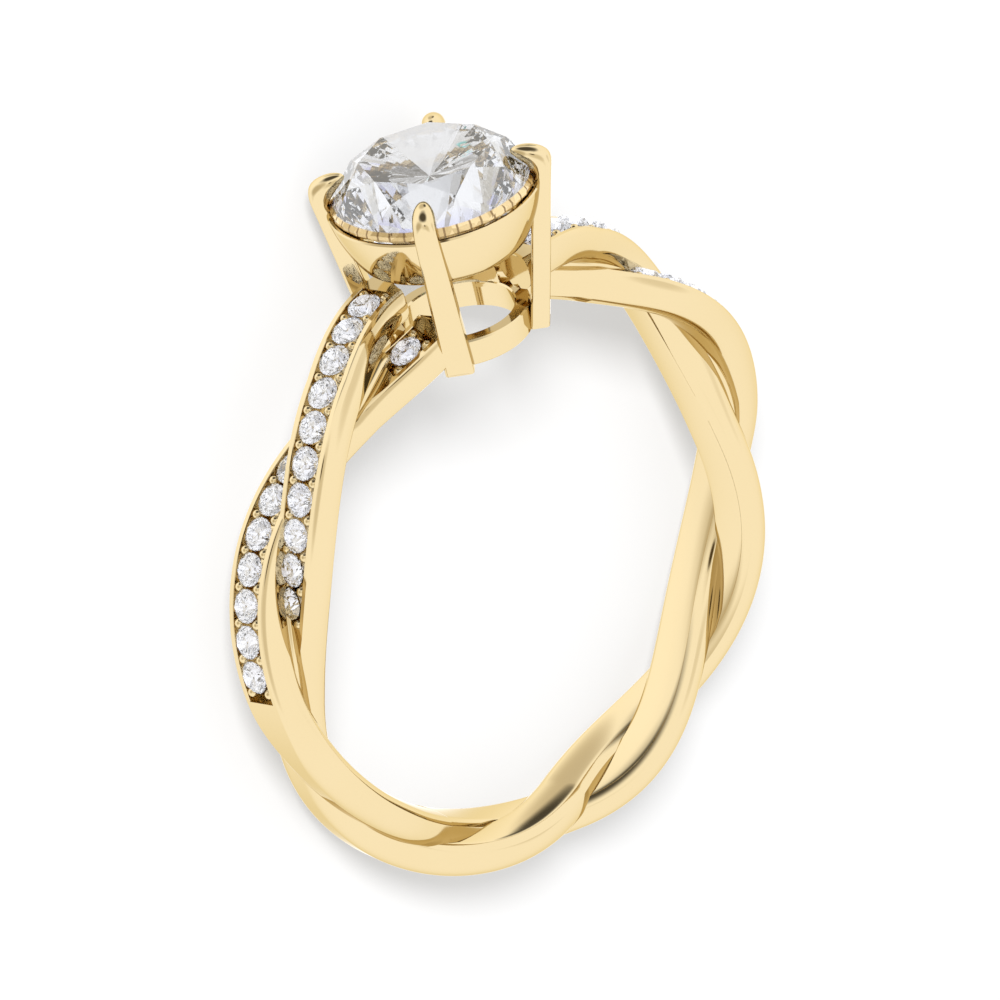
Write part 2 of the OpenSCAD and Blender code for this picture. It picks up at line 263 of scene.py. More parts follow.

# %% [markdown]
# ## Diamond
# A diamond is clear and bends light far more than glass, so most light that enters the crown is
# thrown back by the pavilion. A clear shader with the real index of refraction does most of it, as
# long as the facets are flat. Its tint is under white, for the sky's extra brightness. A stone also
# splits light into fire, which is painted here: random cells near the girdle are violet, and one
# small spot at the table is cyan. The golden band round the real girdle is the gold setting mirrored
# in the stone, and it is painted too: a painted reflection, as tiles that turn the same shader into
# metal there, since it then follows the girdle exactly.

# %% Diamond colours
DIAMOND_IOR = 2.417
CLEAR = (0.54, 0.55, 0.575, 1.0)
VIOLET = (0.25, 0.26, 0.6, 1.0)
CYAN = (0.03, 0.5, 0.55, 1.0)
# the small stones' bluish cells are painted fire
ACCENT_CLEAR, ACCENT_FIRE_BLUE = (0.69, 0.695, 0.71, 1.0), (0.61, 0.62, 0.69, 1.0)
# painted reflection of the gold setting in the stone: golden and brown tiles, dark lines between
REFLECTED_GOLD, REFLECTED_BROWN = (0.78, 0.61, 0.34, 1.0), (0.5, 0.36, 0.16, 1.0)
REFLECTED_DARK_LINE = (0.24, 0.15, 0.06, 1.0)
GIRDLE_TOP = STONE_Z + GIRDLE_T
FIRE_UP, FIRE_FROM, FIRE_FULL = 0.75, 0.45, 0.9
FLASH_AT = (-0.96, 0.75, GIRDLE_TOP + CROWN_H)
FLASH_CORE, FLASH_REACH = 0.15, 0.3
FLASH_LOW, FLASH_HIGH = 0.25, 0.3
FIRE_CELLS, FLASH_CELLS, ACCENT_CELLS = 1500.0, 5000.0, 2500.0
GOLD_UP, GOLD_DOWN, GOLD_EASE = 0.13, 0.16, 0.01
TILES, TILE_WANDER, TILE_GAP, TILE_FULL = 48, 0.3, 0.04, 0.12
TILE_METAL, TILE_ROUGHNESS = 0.9, 0.15
WANDER_CELLS, TILE_CELLS = 1100.0, 1900.0
HEAD_DIR, NEAR_DIR = tuple(LIE[:, 2]), tuple(LIE[:, 1])
HEAD_START, NEAR_START = float(finger_point @ LIE[:, 2]), float(finger_point @ LIE[:, 1])
print("girdle's top above the finger's axis:", round(GIRDLE_TOP, 2))


# %% Node helpers for the stones
def step_between(tree, value, low, high):
    return node(
        tree, "ShaderNodeMapRange", {"interpolation_type": "SMOOTHSTEP"},
        {"Value": value, "From Min": low, "From Max": high},
    )


def cells(tree, place, scale):
    """A random number for each of many small cells."""
    colour = node(tree, "ShaderNodeTexVoronoi", None, {"Vector": place, "Scale": scale}, "Color")
    return node(tree, "ShaderNodeSeparateColor", None, [colour], "Red")


def reach_along(tree, place, direction):
    """How far a place reaches in one direction."""
    settings = {"operation": "DOT_PRODUCT"}
    return node(tree, "ShaderNodeVectorMath", settings, [place, direction], "Value")


def make_clear(shader):
    shader.inputs["Transmission Weight"].default_value = 1.0
    shader.inputs["IOR"].default_value = DIAMOND_IOR


print("index of refraction:", DIAMOND_IOR)


# %% Small stones' material
def make_small_diamond():
    material, tree, shader, place = new_material("accent_diamond")
    # painted fire: random cells tinted blue
    tint = blend(tree, cells(tree, place, ACCENT_CELLS), ACCENT_CLEAR, ACCENT_FIRE_BLUE)
    drive(tree, shader, "Base Color", tint)
    shader.inputs["Roughness"].default_value = 0.0
    make_clear(shader)
    return material


small_diamond = make_small_diamond()
print("small diamond nodes:", len(small_diamond.node_tree.nodes))


# %% Main stone's painted gold reflection and cyan flash
def painted_gold_reflection_band(tree, height):
    """1 on the girdle band with the painted reflection of the gold, 0 elsewhere."""
    top, foot = GIRDLE_TOP + GOLD_UP, STONE_Z - GOLD_DOWN
    band = 1.0 - step_between(tree, height, top - 3 * GOLD_EASE, top + GOLD_EASE)
    return band * step_between(tree, height, foot, foot + GOLD_EASE)


def reflected_gold_tiles(tree, place):
    """Painted gold reflection: golden and brown tiles round the head's axis, thin dark lines between.
    """
    across = reach_along(tree, place, (1.0, 0.0, 0.0))
    near = reach_along(tree, place, NEAR_DIR) - NEAR_START * MM
    share = node(tree, "ShaderNodeMath", {"operation": "ARCTAN2"}, [across, near])
    share = share * (TILES / math.tau) + cells(tree, place, WANDER_CELLS) * TILE_WANDER
    share = node(tree, "ShaderNodeMath", {"operation": "PINGPONG"}, [share, 0.5])
    tile = blend(tree, cells(tree, place, TILE_CELLS), REFLECTED_GOLD, REFLECTED_BROWN)
    return blend(tree, step_between(tree, share, TILE_GAP, TILE_FULL), REFLECTED_DARK_LINE, tile)


def cyan_flash(tree, place):
    """1 in some cells of one small spot at the table, 0 elsewhere."""
    flash_at = tuple(lie_down(FLASH_AT))
    away = node(tree, "ShaderNodeVectorMath", {"operation": "DISTANCE"}, [place, flash_at], "Value")
    spot = 1.0 - step_between(tree, away * (1 / MM), FLASH_CORE, FLASH_REACH)
    return spot * step_between(tree, cells(tree, place, FLASH_CELLS), FLASH_LOW, FLASH_HIGH)


print("golden band from", round(STONE_Z - GOLD_DOWN, 2), "to", round(GIRDLE_TOP + GOLD_UP, 2))


# %% Main stone's material
def make_diamond():
    """Clear, with painted violet and cyan fire, and a painted gold reflection round the girdle."""
    material, tree, shader, place = new_material("main_diamond")
    height = reach_along(tree, place, HEAD_DIR) * (1 / MM) - HEAD_START
    low = 1.0 - step_between(tree, height, GIRDLE_TOP, GIRDLE_TOP + FIRE_UP)
    low = low * step_between(tree, height, STONE_Z, GIRDLE_TOP)
    fire = step_between(tree, cells(tree, place, FIRE_CELLS), FIRE_FROM, FIRE_FULL) * low
    colour = blend(tree, fire, CLEAR, VIOLET)
    colour = blend(tree, cyan_flash(tree, place), colour, CYAN)
    # painted reflection of the gold setting: a band of metal tiles round the girdle
    girdle = painted_gold_reflection_band(tree, height)
    colour = blend(tree, girdle, colour, reflected_gold_tiles(tree, place))
    drive(tree, shader, "Base Color", colour)
    drive(tree, shader, "Metallic", girdle * TILE_METAL)
    drive(tree, shader, "Roughness", girdle * TILE_ROUGHNESS)
    make_clear(shader)
    return material


diamond = make_diamond()
print("diamond nodes:", len(diamond.node_tree.nodes))

# %% [markdown]
# ## Mesh helpers
# Each piece is worked out as an array of points in upright millimetres. One helper turns it into an
# object at the origin: it merges doubles, points the faces outwards, lays the piece down and rounds
# the shading except across edges sharper than a given angle.

# %% Make an object from points and faces
MERGE_MM = 2e-3


def make_object(name, points, faces, material, sharp_deg=None, upright=False):
    mesh = bpy.data.meshes.new(name)
    placed = np.asarray(points, float) if upright else lie_down(points)
    mesh.from_pydata([tuple(p) for p in placed], [], [tuple(int(i) for i in f) for f in faces])
    work = bmesh.new()
    work.from_mesh(mesh)
    merge = MERGE_MM if upright else MERGE_MM * MM
    bmesh.ops.remove_doubles(work, verts=work.verts, dist=merge)
    bmesh.ops.dissolve_degenerate(work, edges=work.edges, dist=merge / 4)
    bmesh.ops.recalc_face_normals(work, faces=work.faces)
    work.to_mesh(mesh)
    work.free()
    finish_shading(mesh, sharp_deg)
    mesh.materials.append(material)
    piece = bpy.data.objects.new(name, mesh)
    bpy.context.scene.collection.objects.link(piece)
    return piece


def finish_shading(mesh, sharp_deg):
    smooth = sharp_deg is not None
    mesh.polygons.foreach_set("use_smooth", [smooth] * len(mesh.polygons))
    if smooth:
        mesh.set_sharp_from_angle(angle=math.radians(sharp_deg))
    mesh.update()


def tube_faces(rings, points, closed=False, first=0):
    """Quads round a stack of rings, with a cap at each end or the last ring joined to the first."""
    faces = []
    for j in range(rings if closed else rings - 1):
        a, b = first + j * points, first + ((j + 1) % rings) * points
        faces += [(a + i, a + (i + 1) % points, b + (i + 1) % points, b + i) for i in range(points)]
    if not closed:
        faces.append([first + i for i in range(points)][::-1])
        faces.append([first + (rings - 1) * points + i for i in range(points)])
    return faces


print("faces of a box as a tube:", len(tube_faces(2, 4)))

# %% [markdown]
# ## The path of a strand
# Seen along the finger the strands weave in and out, and seen from above they weave from side to
# side, a quarter turn apart, like a rope. A smooth curve through the four crossing angles says how
# far round the weave has gone. The swing in and out is large on the shoulders, where one strand
# rides over the other, and small at the back.

# %% Strand path
def wind(theta):
    """How far round the weave has gone, in radians, at an angle from the head in degrees."""
    theta = np.asarray(theta, float)
    near = np.where(theta <= 180, theta, 360 - theta)
    total = np.zeros_like(near)
    for i, value in enumerate((90, 270, 450, 630)):
        part = np.ones_like(near)
        for k, other in enumerate(CROSSINGS):
            if k != i:
                part = part * (near - other) / (CROSSINGS[i] - other)
        total = total + value * part
    return np.radians(np.where(theta <= 180, total, 1260 - total))


def strand_at(theta, strand):
    """The middle of a strand: 1 starts outermost at the head, -1 is the other."""
    theta = np.asarray(theta, float)
    from_head = np.where(theta <= 180, theta, 360 - theta)
    near_head = np.clip((CROSSINGS[0] - from_head) / CROSSINGS[0], 0, None)
    swing = SHOULDER_SWING + (BACK_SWING - SHOULDER_SWING) * np.clip((from_head - 90) / 90, 0, 1)
    lift = HEAD_LIFT if strand > 0 else HEAD_DROP
    r = AXIS_R + strand * (swing * np.sin(wind(theta)) + lift * near_head)
    y = -strand * (SIDE_SWING + HEAD_SPREAD * near_head) * np.cos(wind(theta))
    turn = np.radians(theta)
    return np.stack([r * np.sin(turn), y, r * np.cos(turn)], -1)


def unit(v):
    return v / np.linalg.norm(v, axis=-1, keepdims=True)


def strand_axes(theta, strand):
    """Directions along, sideways and outward at each angle."""
    along = unit(strand_at(theta + 0.2, strand) - strand_at(theta - 0.2, strand))
    turn = np.radians(theta)
    out = np.stack([np.sin(turn), np.zeros_like(turn), np.cos(turn)], -1)
    out = unit(out - along * (along * out).sum(-1, keepdims=True))
    return along, np.cross(out, along), out


print("weave at the crossings:", [round(math.degrees(float(wind(c)))) for c in CROSSINGS])

# %% [markdown]
# ## Rows of stones
# The stones stand at equal steps along the strand's outer face, and the gold grains that hold them
# stand in pairs between them. The right shoulder is the left one turned half way about the head.

# %% Where the stones and grains stand
CHANNEL_END = 1.35  # in half pitches, from the last stone's middle to the channel's end


def face_at(theta, strand):
    _, _, out = strand_axes(theta, strand)
    return strand_at(theta, strand) + out * STRAND_T / 2


def next_angle(theta, strand, step):
    rate = np.linalg.norm(face_at(theta + 0.5, strand) - face_at(theta - 0.5, strand))
    guess = theta + 0.5 * step / rate
    middle = np.linalg.norm(face_at(guess + 0.5, strand) - face_at(guess - 0.5, strand))
    return theta + step / middle


def row_angles(row):
    angles = [np.float64(row["first"])]
    while len(angles) < row["stones"]:
        angles.append(next_angle(angles[-1], row["strand"], ACCENT_PITCH))
    return angles


for row in ROWS.values():
    row["angles"] = row_angles(row)
    before, after = (face_at(row["first"] + turn, row["strand"]) for turn in (-0.5, 0.5))
    margin = CHANNEL_END * 0.5 * ACCENT_PITCH / np.linalg.norm(after - before)
    row["channel"] = (row["angles"][0] - margin, row["angles"][-1] + margin)
    row["grains"] = [next_angle(row["angles"][0], row["strand"], -ACCENT_PITCH / 2)]
    row["grains"] += [next_angle(a, row["strand"], ACCENT_PITCH / 2) for a in row["angles"]]
print({name: [round(float(a), 1) for a in row["angles"]] for name, row in ROWS.items()})

# %% [markdown]
# ## The strands
# A strand is one section swept along its path. The section is a bar with a rounded outer side,
# slightly domed flanks and a bevel of three narrow facets on the finger's side, which catch fine
# lines. Where a row of stones runs, the outer side is less round and the same section opens into a
# channel, so the rim, the wall and the floor belong to the strand itself. Points that would stand
# in the finger hole are pushed back to the bore, which gives its polished wall.

# %% Strand section
ROUND_BARE, ROUND_SET = 0.6, 0.32
FIRST_BARE, FIRST_SET = 90.0, 52.0
DOME_DEG = 18.0
LOW_ROUND, LOW_DEG = 0.2, 26.0
LOW_FACETS = [(0.025, 38.0), (0.28, 50.0), (0.03, 68.0)]
RIM_EDGE = 0.02
BORE_DOME = 0.14
BORE_BULGE = 0.05
BORE_SHARES = (0.8, 0.6, 0.4, 0.2, 0.0)
OUTER_STEPS, FLANK_STEPS, LOW_STEPS = 14, 8, 4


def arc(start, radius, first, last, steps):
    """Points of an arc from a start point, given by the directions of its outward normal."""
    turn = np.radians(np.linspace(first, last, steps + 1))
    normals = np.stack([np.cos(turn), np.sin(turn)], -1)
    return np.asarray(start) + radius * (normals - normals[0])


def section(depth, rounding, first):
    """Half a section, from the middle of the outer face round to the bore face, and its mirror."""
    t = STRAND_T / 2
    dome = math.radians(DOME_DEG)
    up, down = math.radians(first), math.radians(LOW_DEG)
    low = -t + LOW_ROUND * (math.sin(down) - math.sin(dome))
    low += sum(length * math.cos(math.radians(deg)) for length, deg in LOW_FACETS)
    high = t - rounding * (math.sin(up) - math.sin(dome))
    dome_r = (high - low) / 2 / math.sin(dome)
    edge = STRAND_W / 2 - dome_r * (1 - math.cos(dome))
    start = edge - rounding * (math.cos(dome) - math.cos(up))
    rim = min(CHANNEL_HALF, start - 2 * RIM_EDGE)
    half = [(0.0, t - depth), (rim / 2, t - depth), (rim, t - depth)]
    half += [(rim, t - min(depth, RIM_EDGE)), (rim + RIM_EDGE, t)]
    half += list(arc((start, t), rounding, first, DOME_DEG, OUTER_STEPS))
    half += list(arc((edge, high), dome_r, DOME_DEG, -DOME_DEG, FLANK_STEPS))[1:]
    half += list(arc((edge, low), LOW_ROUND, -DOME_DEG, -LOW_DEG, LOW_STEPS))[1:]
    for length, deg in LOW_FACETS:
        down = math.radians(deg)
        half.append((half[-1][0] - length * math.sin(down), half[-1][1] - length * math.cos(down)))
    corner = half[-1][0]
    half += [(corner * share, -t - BORE_BULGE * (1 - share ** 2)) for share in BORE_SHARES]
    left = [(-x, y) for x, y in half[1:-1]][::-1]
    return np.array([tuple(p) for p in half] + left)


print("points in a section:", len(section(0.0, ROUND_BARE, FIRST_BARE)))

# %% [markdown]
# ## The blunt end
# Low on the left one strand seems to end bluntly, as if it had been let into the other. Here the
# second strand drifts a little towards the near side and springs back in one short step, whose face
# is that end. Such a step needs two sections very close together, and so does each channel's end.

# %% Step and channel ends
EDGE_STEP = 0.04
STEP_AT, STEP_OUT, STEP_FROM, STEP_GROWTH = 143.0, 0.13, 118.0, 14.0


def ease_in(share):
    return share * share * (3 - 2 * share)


def channels_on(strand):
    spans = [row["channel"] for row in ROWS.values() if row["strand"] == strand]
    return spans + [(360 - b, 360 - a) for a, b in spans]


def near_step(theta):
    """How far the second strand has drifted towards the near side."""
    if theta > STEP_AT:
        return 0.0
    return STEP_OUT * ease_in(min(max((theta - STEP_FROM) / STEP_GROWTH, 0.0), 1.0))


def sweep_angles(strand):
    angles = list(np.arange(STRAND_START, 360 - STRAND_START + 0.01, 1.0))
    angles += [STEP_AT - EDGE_STEP, STEP_AT + EDGE_STEP]
    for a, b in channels_on(strand):
        angles += [a - EDGE_STEP, a + EDGE_STEP, b - EDGE_STEP, b + EDGE_STEP]
    return np.array(sorted(angles))


print("sections along each strand:", [len(sweep_angles(strand)) for strand in (1, -1)])

# %% Sweep a strand
BASKET_GAP, EASE_DEG, STRAND_SHARP_DEG = 0.04, 18.0, 19


def keep_clear(points, sideways):
    """Pushes points out of the finger hole and out of the open inside of the basket."""
    bore = BORE_R + BORE_DOME * (sideways / (STRAND_W / 2)) ** 2
    r = np.hypot(points[:, 0], points[:, 2])
    grow = np.maximum(bore / np.maximum(r, 1e-6), 1.0)
    points[:, 0] *= grow
    points[:, 2] *= grow
    room = BASE_R - BASE_WALL + BASKET_GAP
    r = np.hypot(points[:, 0], points[:, 1])
    inside = (points[:, 2] > 0) & (r < room)
    points[inside, :2] *= (room / np.maximum(r[inside], 1e-6))[:, None]
    return points


def make_strand(name, strand):
    angles = sweep_angles(strand)
    _, side, out = strand_axes(angles, strand)
    middle = strand_at(angles, strand)
    spans = channels_on(strand)
    rings, sideways = [], []
    for theta, m, a, b in zip(angles, middle, side, out):
        away = min([max(lo - theta, theta - hi, 0) for lo, hi in spans])
        depth = CHANNEL_DEPTH if away == 0 else 0.0
        ease = ease_in(min(away / EASE_DEG, 1.0))
        rounding = ROUND_SET + (ROUND_BARE - ROUND_SET) * ease
        shape = section(depth, rounding, FIRST_SET + (FIRST_BARE - FIRST_SET) * ease)
        ring = m + shape[:, :1] * a + shape[:, 1:] * b
        if strand < 0:
            ring[:, 1] += near_step(theta)
        rings.append(ring)
        sideways.append(shape[:, 0])
    points = keep_clear(np.concatenate(rings), np.concatenate(sideways))
    faces = tube_faces(len(rings), len(rings[0]))
    return make_object(name, points, faces, gold, sharp_deg=STRAND_SHARP_DEG)


strands = [make_strand("strand_left_outer", 1), make_strand("strand_left_inner", -1)]
print("strand faces:", [len(s.data.polygons) for s in strands])

# %% [markdown]
# ## Solder between the strands
# Where one strand rides over the other a jeweller floods the seam with solder, so no light passes.
# It is a slim oval rope along the middle of the shank, widest where the strands lie on each other.

# %% Solder seam
SEAM_HALF_T = 0.27
SEAM_HALF_W, SEAM_MORE_W = 0.32, 0.4
SEAM_POINTS = 24
SEAM_START, SEAM_STEP = 20.0, 2.0


def make_seam(name):
    angles = np.arange(SEAM_START, 360 - SEAM_START + 0.01, SEAM_STEP)
    turn = np.radians(angles)
    out = np.stack([np.sin(turn), 0 * turn, np.cos(turn)], -1)
    half_w = SEAM_HALF_W + SEAM_MORE_W * np.sin(wind(angles)) ** 4
    rings = []
    for o, w in zip(out, half_w):
        a = 2 * math.pi * np.arange(SEAM_POINTS) / SEAM_POINTS
        r = AXIS_R + SEAM_HALF_T * np.sin(a)
        rings.append(o * r[:, None] + np.array([0, 1.0, 0]) * (w * np.cos(a))[:, None])
    faces = tube_faces(len(rings), SEAM_POINTS)
    return make_object(name, np.concatenate(rings), faces, gold, sharp_deg=60)


seam = make_seam("solder_seam")
print("seam faces:", len(seam.data.polygons))

# %% [markdown]
# ## Turned parts of the head
# The seat under the stone and the ring that joins the prongs' feet are round, so each is a profile
# turned about the head's axis. Small bevels on the profile catch the bright lines of a real edge.

# %% Seat and base ring
TURN_STEPS = 144


def lathe(name, profile):
    """A profile of (radius, height) pairs turned about the head's axis."""
    turn = np.linspace(0, 2 * math.pi, TURN_STEPS, endpoint=False)
    r, z = np.array(profile).T
    heights = np.tile(z, (TURN_STEPS, 1))
    points = np.stack([np.outer(np.cos(turn), r), np.outer(np.sin(turn), r), heights], -1)
    faces = tube_faces(TURN_STEPS, len(profile), closed=True)
    return make_object(name, points.reshape(-1, 3), faces, gold, sharp_deg=25)


SEAT_BULGE, SEAT_STEPS = 0.09, 10
stone_r, rim_r = STONE_D / 2, STONE_D / 2 + SEAT_OUT
seat_in = SEAT_FOOT_R - SEAT_WALL + 0.04
seat_low = SEAT_TOP - SEAT_H
wall_low, wall_high = seat_low + 0.05, SEAT_TOP - 0.06


def seat_wall(u):
    """The seat's outer face from foot (0) to rim (1), slightly bulged."""
    r = SEAT_FOOT_R + (rim_r - SEAT_FOOT_R) * u + SEAT_BULGE * 4 * u * (1 - u)
    return r, wall_low + (wall_high - wall_low) * u


seat = lathe("seat_band", [(SEAT_FOOT_R - 0.05, seat_low)] + [
    seat_wall(u) for u in np.linspace(0, 1, SEAT_STEPS)
] + [
    (rim_r - 0.035, SEAT_TOP), (stone_r + 0.02, SEAT_TOP), (stone_r - 0.03, SEAT_TOP - 0.08),
    (stone_r - 0.5, SEAT_TOP - 0.48), (seat_in, seat_low + 0.04), (seat_in, seat_low),
])
base_in, base_top = BASE_R - BASE_WALL, FOOT_Z + BASE_H
base = lathe("base_ring", [
    (base_in, FOOT_Z), (BASE_R - 0.11, FOOT_Z), (BASE_R - 0.07, FOOT_Z + 0.04),
    (BASE_R - 0.01, base_top - 0.05), (BASE_R - 0.06, base_top),
    (base_in + 0.05, base_top), (base_in, base_top - 0.05),
])
print("head rings:", len(seat.data.polygons), len(base.data.polygons))

# %% [markdown]
# ## A prong
# A prong is a slim bar that leans outwards and ends in a claw, bent over the crown and filed to a
# soft point. The table gives a few cuts through it, from foot to tip: the outer and inner point of
# each cut, half its width and how round it is. A smooth curve through them makes the rest.

# %% Prong and claw
PRONG_CUTS = [
    # outer r, outer z, inner r, inner z, half width, roundness
    (2.74, 8.20, 2.20, 8.20, 0.40, 0.7),
    (2.785, 8.26, 2.165, 8.26, 0.44, 0.5),
    (2.80, 8.36, 2.17, 8.36, 0.455, 0.35),
    (3.10, 9.90, 2.48, 9.90, 0.43, 0.35),
    (3.39, 11.46, 2.77, 11.46, 0.405, 0.35),
    (3.66, 12.90, 3.04, 12.90, 0.375, 0.38),
    (3.77, 13.46, 3.27, 13.42, 0.365, 0.5),
    (3.83, 13.80, 3.19, 13.59, 0.365, 0.7),
    (3.78, 14.07, 3.08, 13.72, 0.36, 0.9),
    (3.58, 14.27, 2.97, 13.84, 0.35, 1.0),
    (3.28, 14.38, 2.86, 13.96, 0.315, 1.0),
    (2.98, 14.41, 2.76, 14.07, 0.235, 1.0),
    (2.76, 14.38, 2.67, 14.17, 0.14, 1.0),
    (2.65, 14.32, 2.62, 14.23, 0.06, 1.0),
    (2.615, 14.285, 2.61, 14.26, 0.015, 1.0),
]
CUTS_BETWEEN = 5
CUT_POINTS = 32
PRONG_SHARP_DEG = 32
print("cuts in the table:", len(PRONG_CUTS))


# %% A smooth curve through the cuts
def smooth_rows(rows, between):
    """Catmull-Rom curve through the rows of a table."""
    rows = np.array(rows)
    padded = np.vstack([2 * rows[0] - rows[1], rows, 2 * rows[-1] - rows[-2]])
    made = []
    for i in range(1, len(padded) - 2):
        p0, p1, p2, p3 = padded[i - 1:i + 3]
        for u in np.arange(between) / between:
            made.append(0.5 * (2 * p1 + (p2 - p0) * u + (2 * p0 - 5 * p1 + 4 * p2 - p3) * u * u
                               + (3 * p1 - p0 - 3 * p2 + p3) * u ** 3))
    return np.array(made + [rows[-1]])


print("cuts on the curve:", len(smooth_rows(PRONG_CUTS, CUTS_BETWEEN)))


# %% Build one prong
def rounded_cut(half_w, half_t, roundness):
    """A rounded rectangle: half_w across, half_t through."""
    radius = roundness * min(half_w, half_t)
    steps = CUT_POINTS // 4
    points = []
    for corner, (sx, sy) in enumerate([(1, 1), (-1, 1), (-1, -1), (1, -1)]):
        for i in range(steps):
            turn = math.pi / 2 * (corner + i / (steps - 1))
            points.append((
                sx * (half_w - radius) + radius * math.cos(turn),
                sy * (half_t - radius) + radius * math.sin(turn),
            ))
    return np.array(points)


def make_prong(name):
    cuts = smooth_rows(PRONG_CUTS, CUTS_BETWEEN)
    rings = []
    for out_r, out_z, in_r, in_z, half_w, roundness in cuts:
        outer, inner = np.array([out_r, 0, out_z]), np.array([in_r, 0, in_z])
        through = outer - inner
        shape = rounded_cut(half_w, np.linalg.norm(through) / 2, min(roundness, 1.0))
        rings.append((outer + inner) / 2 + shape[:, :1] * np.array([0, 1.0, 0])
                     + shape[:, 1:] * unit(through))
    faces = tube_faces(len(rings), CUT_POINTS)
    return make_object(
        name, np.concatenate(rings), faces, gold, sharp_deg=PRONG_SHARP_DEG, upright=True,
    )


one_prong = make_prong("one_prong")
print("faces of one prong:", len(one_prong.data.polygons))

# %% [markdown]
# ## Putting a piece on many spots
# The prongs, the grains and the small stones each repeat one shape. One Geometry Nodes tree does
# it: it reads a turn from every point of a small mesh of spots, sets the piece there, spins it
# about its own axis by a seeded amount, makes the copies real and gives them their finish. The
# result is kept as a plain mesh in place of the tree.

# %% The tree that sets a piece on spots
def build_spot_tree():
    tree = bpy.data.node_groups.new("set_on_spots", "GeometryNodeTree")
    face = tree.interface
    face.new_socket("Geometry", in_out="INPUT", socket_type="NodeSocketGeometry")
    face.new_socket("Piece", in_out="INPUT", socket_type="NodeSocketObject")
    face.new_socket("Size", in_out="INPUT", socket_type="NodeSocketFloat")
    face.new_socket("Most spin", in_out="INPUT", socket_type="NodeSocketFloat")
    face.new_socket("Seed", in_out="INPUT", socket_type="NodeSocketInt")
    face.new_socket("Finish", in_out="INPUT", socket_type="NodeSocketMaterial")
    face.new_socket("Geometry", in_out="OUTPUT", socket_type="NodeSocketGeometry")
    start = tree.nodes.new("NodeGroupInput")
    given = {s.name: Socket(tree, s) for s in start.outputs if s.name}
    info = node(tree, "GeometryNodeObjectInfo", None, {"Object": given["Piece"]}, "Geometry")
    turn = node(
        tree, "GeometryNodeInputNamedAttribute", {"data_type": "FLOAT_VECTOR"}, {"Name": "turn"},
    )
    as_turn = node(tree, "FunctionNodeEulerToRotation", None, [turn])
    spin = node(
        tree, "FunctionNodeRandomValue", {"data_type": "FLOAT"},
        {2: 0.0, 3: given["Most spin"], 8: given["Seed"]}, 1,
    )
    own = node(tree, "FunctionNodeAxisAngleToRotation", None, [(0, 0, 1), spin])
    both = node(tree, "FunctionNodeRotateRotation", {"rotation_space": "LOCAL"}, [as_turn, own])
    copies = node(
        tree, "GeometryNodeInstanceOnPoints", None,
        {"Points": given["Geometry"], "Instance": info, "Rotation": both, "Scale": given["Size"]},
    )
    real = node(tree, "GeometryNodeRealizeInstances", None, {"Geometry": copies})
    done = node(
        tree, "GeometryNodeSetMaterial", None, {"Geometry": real, "Material": given["Finish"]},
    )
    end = tree.nodes.new("NodeGroupOutput")
    tree.links.new(done.socket, end.inputs[0])
    return tree


spot_tree = build_spot_tree()
SOCKET_IDS = {s.name: s.identifier for s in spot_tree.interface.items_tree if s.in_out == "INPUT"}
print("inputs:", SOCKET_IDS)


# %% Run the tree and keep a plain mesh
def set_on_spots(name, piece, spots, finish, size=1.0, most_spin=0.0, seed=0, sharp_deg=None):
    """spots: upright position and the three axes (x, y, z directions) of each copy."""
    mesh = bpy.data.meshes.new(name)
    mesh.from_pydata([tuple(p) for p, _ in spots], [], [])
    turns = mesh.attributes.new("turn", "FLOAT_VECTOR", "POINT")
    for i, (_, axes) in enumerate(spots):
        turns.data[i].vector = Matrix(np.array(axes).T.tolist()).to_euler()
    holder = bpy.data.objects.new(name + "_spots", mesh)
    bpy.context.scene.collection.objects.link(holder)
    modifier = holder.modifiers.new("set_on_spots", "NODES")
    modifier.node_group = spot_tree
    values = {"Piece": piece, "Size": size, "Most spin": most_spin, "Seed": seed, "Finish": finish}
    for key, value in values.items():
        modifier[SOCKET_IDS[key]] = value
    holder.update_tag()
    depsgraph = bpy.context.evaluated_depsgraph_get()
    depsgraph.update()
    made = bpy.data.meshes.new_from_object(holder.evaluated_get(depsgraph), depsgraph=depsgraph)
    holder.modifiers.remove(modifier)
    bpy.data.objects.remove(holder)
    flat = np.empty(len(made.vertices) * 3)
    made.vertices.foreach_get("co", flat)
    made.vertices.foreach_set("co", lie_down(flat.reshape(-1, 3)).ravel())
    finish_shading(made, sharp_deg)
    made.name = name
    result = bpy.data.objects.new(name, made)
    bpy.context.scene.collection.objects.link(result)
    bpy.data.objects.remove(piece)
    return result


def both_shoulders(spots):
    """The spots and their images, half a turn about the head's axis."""
    turn = np.diag([-1.0, -1.0, 1.0])
    return spots + [(turn @ p, [turn @ a for a in axes]) for p, axes in spots]


one_spot = [(np.zeros(3), list(np.eye(3)))]
print("one spot becomes", len(both_shoulders(one_spot)), "on both shoulders")

# %% Four prongs
def prong_spots():
    spots = []
    for corner in (45, 135, 225, 315):
        cos, sin = math.cos(math.radians(corner)), math.sin(math.radians(corner))
        spots.append((np.zeros(3), [(cos, sin, 0), (-sin, cos, 0), (0, 0, 1)]))
    return spots


prongs = set_on_spots("prongs", one_prong, prong_spots(), gold, sharp_deg=PRONG_SHARP_DEG)
print("prong faces:", len(prongs.data.polygons))

# %% [markdown]
# ## Grains
# A grain is a bead of gold raised with a burin and pushed against the stone. They look like tiny
# domes in pairs between the stones, so each is a small ball sunk in the channel.

# %% Grains between the stones
GRAIN_UP = 0.03


